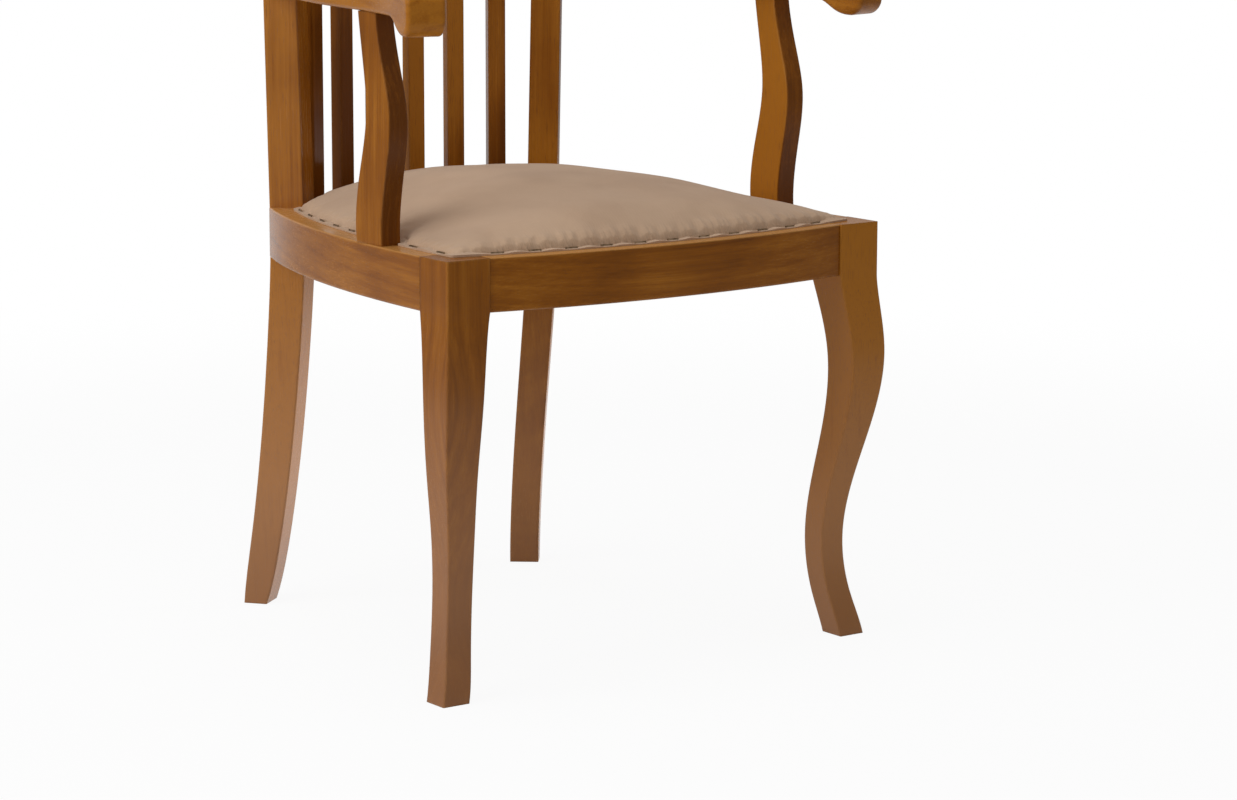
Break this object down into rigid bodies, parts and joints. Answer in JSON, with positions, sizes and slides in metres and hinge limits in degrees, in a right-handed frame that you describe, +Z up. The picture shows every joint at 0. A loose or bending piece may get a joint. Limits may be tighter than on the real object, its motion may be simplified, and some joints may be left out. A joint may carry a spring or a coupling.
{
  "type": "armchair",
  "caption": "Open armchair with a horseshoe seat, cabriole front legs, sabre rear legs, a barrel back of upright slats, scrolled arms and a stapled calico pin-cushion seat.",
  "frame": {"origin": "centre of the bounding box on the floor, under the seat", "axes": "+X towards the sitter's left, -Y the way the chair faces, +Z up"},
  "size_m": [0.5702, 0.5408, 0.905],
  "materials": {
    "stained_wood": "satin mid-brown stain",
    "raw_wood": "unfinished",
    "calico": "plain weave, unbleached",
    "webbing": "woven jute",
    "hessian": "open plain weave",
    "stuffing": "fibre pad",
    "steel": "plain wire and screws"
  },
  "bodies": {
    "root": {"arm_dowels": "raw_wood", "arm_left": "stained_wood", "arm_right": "stained_wood", "arm_support_left": "stained_wood", "arm_support_right": "stained_wood", "back_slat_1": "stained_wood", "back_slat_2": "stained_wood", "back_slat_3": "stained_wood", "back_slat_4": "stained_wood", "back_slat_5": "stained_wood", "back_slat_6": "stained_wood", "corner_block_front_left": "raw_wood", "corner_block_front_right": "raw_wood", "corner_block_rear_left": "raw_wood", "corner_block_rear_right": "raw_wood", "corner_block_screws": "steel", "cover_staples": "steel", "crest_rail": "stained_wood", "front_leg_left": "stained_wood", "front_leg_right": "stained_wood", "rear_stile_left": "stained_wood", "rear_stile_right": "stained_wood", "seat_cover": "calico", "seat_hessian": "hessian", "seat_rail_back": "stained_wood", "seat_rail_front": "stained_wood", "seat_rail_left": "stained_wood", "seat_rail_right": "stained_wood", "seat_stuffing": "stuffing", "webbing_crosswise_1": "webbing", "webbing_crosswise_2": "webbing", "webbing_crosswise_3": "webbing", "webbing_crosswise_4": "webbing", "webbing_lengthwise_1": "webbing", "webbing_lengthwise_2": "webbing", "webbing_lengthwise_3": "webbing", "webbing_lengthwise_4": "webbing", "webbing_tacks": "steel"}
  },
  "joints": []
}
